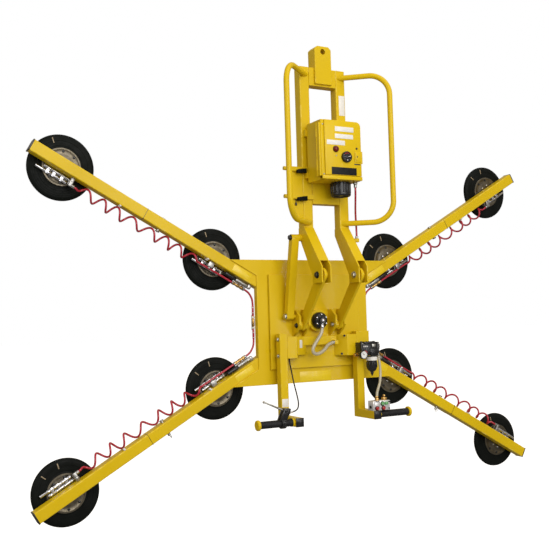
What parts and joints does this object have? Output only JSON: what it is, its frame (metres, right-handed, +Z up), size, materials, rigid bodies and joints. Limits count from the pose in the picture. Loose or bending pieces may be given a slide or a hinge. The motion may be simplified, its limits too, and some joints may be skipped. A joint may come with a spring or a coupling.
{
  "type": "glass panel lifter",
  "caption": "Vacuum lifter that hangs from a hoist: X-shaped turning pad frame with round pads, tilt linkage, control box, guard rails and control handles.",
  "frame": {"origin": "centre of the lift eye's hole, on the middle plane of the uprights", "axes": "+X to the operator's right, +Y towards the glass that the pads hold, +Z up, with the pads upright as in the picture"},
  "size_m": [2.5906, 0.3885, 2.0644],
  "materials": {
    "yellow_paint": "gloss safety-yellow enamel on steel",
    "black_rubber": "smooth black rubber",
    "black_plastic": "black moulded plastic",
    "zinc_steel": "zinc plated",
    "chrome": "chrome plated",
    "bright_aluminium": "machined aluminium",
    "white_plastic": "white dial in a clear cover",
    "red_hose": "dark red polyurethane",
    "clear_hose": "braided clear hose",
    "red_lens": "red lamp lens",
    "red_plastic": "red button",
    "green_plastic": "green button"
  },
  "bodies": {
    "lift_frame": {"upright_right": "yellow_paint", "upright_left": "yellow_paint", "cross_beams": "yellow_paint", "lift_bar": "yellow_paint", "leg_right": "yellow_paint", "leg_left": "yellow_paint", "leg_pivot_bolts": "zinc_steel", "guard_right": "yellow_paint", "guard_left": "yellow_paint", "side_bracket": "yellow_paint", "clamp_pads": "black_rubber", "box_shell": "yellow_paint", "vacuum_generator": "black_plastic", "alarm_horn": "black_plastic", "box_hose": "red_hose"},
    "control_door": {"box_door": "yellow_paint", "vacuum_gauge": "black_plastic", "warning_lamp": "red_lens"},
    "door_latch": {"door_latch": "yellow_paint"},
    "tilt_arms": {"tilt_arm_right": "yellow_paint", "tilt_arm_left": "yellow_paint"},
    "tilt_link": {"tilt_link": "yellow_paint"},
    "tilt_frame": {"rotator_plate": "yellow_paint", "tilt_brackets": "yellow_paint", "tilt_frame_bolts": "zinc_steel", "post_right": "yellow_paint", "post_left": "yellow_paint", "handle_bars": "yellow_paint", "handle_grips": "black_rubber", "lever_mount": "black_plastic", "hub_bearing": "zinc_steel", "rotary_union": "black_plastic", "filter_regulator": "black_plastic", "filter_bowl": "black_plastic", "pressure_gauge": "white_plastic", "valve_block": "bright_aluminium", "union_hose": "clear_hose", "supply_hose": "clear_hose", "lock_cable": "black_plastic"},
    "release_lever": {"release_lever": "chrome"},
    "lock_plunger": {"lock_plunger": "zinc_steel"},
    "attach_button": {"attach_button": "green_plastic"},
    "release_button": {"release_button": "red_plastic"},
    "pad_frame": {"pad_frame_plate": "yellow_paint", "hub_spindle": "zinc_steel", "inner_arms": "yellow_paint", "extension_arms": "yellow_paint", "arm_pins": "zinc_steel", "hose_fittings": "bright_aluminium", "coil_hoses": "red_hose", "edge_hoses": "red_hose"},
    "pad_upper_right_inner": {"pad_upper_right_inner": "black_rubber"},
    "pad_upper_right_outer": {"pad_upper_right_outer": "black_rubber"},
    "pad_upper_left_inner": {"pad_upper_left_inner": "black_rubber"},
    "pad_upper_left_outer": {"pad_upper_left_outer": "black_rubber"},
    "pad_lower_right_inner": {"pad_lower_right_inner": "black_rubber"},
    "pad_lower_right_outer": {"pad_lower_right_outer": "black_rubber"},
    "pad_lower_left_inner": {"pad_lower_left_inner": "black_rubber"},
    "pad_lower_left_outer": {"pad_lower_left_outer": "black_rubber"}
  },
  "joints": [
    {"name": "tilt", "type": "hinge", "parent": "tilt_arms", "child": "tilt_frame", "pos_m": [0, 0.063, -1.252], "axis": [1, 0, 0], "range_deg": [-112.77, 0]},
    {"name": "tilt_arm_swing", "type": "hinge", "parent": "lift_frame", "child": "tilt_arms", "pos_m": [0, -0.126, -1.032], "axis": [1, 0, 0], "range_deg": [0, 22.87]},
    {"name": "tilt_link_swing", "type": "hinge", "parent": "lift_frame", "child": "tilt_link", "pos_m": [-0.156, 0.007, -0.856], "axis": [1, 0, 0], "range_deg": [0, 18.64]},
    {"name": "pad_frame_turn", "type": "hinge", "parent": "tilt_frame", "child": "pad_frame", "pos_m": [0, 0.116, -1.232], "axis": [0, 1, 0], "continuous": true},
    {"name": "control_door", "type": "hinge", "parent": "lift_frame", "child": "control_door", "pos_m": [-0.11, -0.141, -0.482], "axis": [0, 0, -1], "range_deg": [0, 110]},
    {"name": "door_latch", "type": "hinge", "parent": "control_door", "child": "door_latch", "pos_m": [0.109, -0.1585, -0.508], "axis": [0, 0, -1], "range_deg": [0, 95]},
    {"name": "release_lever", "type": "hinge", "parent": "tilt_frame", "child": "release_lever", "pos_m": [-0.265, -0.056, -1.616], "axis": [0, -1, 0], "range_deg": [0, 22], "stiffness_Nm_per_rad": 2, "springref_deg": -20.05},
    {"name": "lock_plunger", "type": "slide", "parent": "tilt_frame", "child": "lock_plunger", "axis": [0, -1, 0], "range_m": [0, 0.005]},
    {"name": "attach_button", "type": "slide", "parent": "tilt_frame", "child": "attach_button", "axis": [0, 1, 0], "range_m": [0, 0.005], "stiffness_N_per_m": 600, "springref_m": -0.004},
    {"name": "release_button", "type": "slide", "parent": "tilt_frame", "child": "release_button", "axis": [0, 1, 0], "range_m": [0, 0.005], "stiffness_N_per_m": 600, "springref_m": -0.004},
    {"name": "pad_spring_upper_right_inner", "type": "slide", "parent": "pad_frame", "child": "pad_upper_right_inner", "axis": [0, -1, 0], "range_m": [0, 0.006], "stiffness_N_per_m": 9000, "springref_m": -0.004},
    {"name": "pad_spring_upper_right_outer", "type": "slide", "parent": "pad_frame", "child": "pad_upper_right_outer", "axis": [0, -1, 0], "range_m": [0, 0.006], "stiffness_N_per_m": 9000, "springref_m": -0.004},
    {"name": "pad_spring_upper_left_inner", "type": "slide", "parent": "pad_frame", "child": "pad_upper_left_inner", "axis": [0, -1, 0], "range_m": [0, 0.006], "stiffness_N_per_m": 9000, "springref_m": -0.004},
    {"name": "pad_spring_upper_left_outer", "type": "slide", "parent": "pad_frame", "child": "pad_upper_left_outer", "axis": [0, -1, 0], "range_m": [0, 0.006], "stiffness_N_per_m": 9000, "springref_m": -0.004},
    {"name": "pad_spring_lower_right_inner", "type": "slide", "parent": "pad_frame", "child": "pad_lower_right_inner", "axis": [0, -1, 0], "range_m": [0, 0.006], "stiffness_N_per_m": 9000, "springref_m": -0.004},
    {"name": "pad_spring_lower_right_outer", "type": "slide", "parent": "pad_frame", "child": "pad_lower_right_outer", "axis": [0, -1, 0], "range_m": [0, 0.006], "stiffness_N_per_m": 9000, "springref_m": -0.004},
    {"name": "pad_spring_lower_left_inner", "type": "slide", "parent": "pad_frame", "child": "pad_lower_left_inner", "axis": [0, -1, 0], "range_m": [0, 0.006], "stiffness_N_per_m": 9000, "springref_m": -0.004},
    {"name": "pad_spring_lower_left_outer", "type": "slide", "parent": "pad_frame", "child": "pad_lower_left_outer", "axis": [0, -1, 0], "range_m": [0, 0.006], "stiffness_N_per_m": 9000, "springref_m": -0.004}
  ],
  "couplings": [
    {"joint": "tilt_arm_swing", "follows": "tilt", "ratio": -0.20192},
    {"joint": "tilt_link_swing", "follows": "tilt", "ratio": -0.16441},
    {"joint": "lock_plunger", "follows": "release_lever", "m_per_rad": 0.01276}
  ]
}
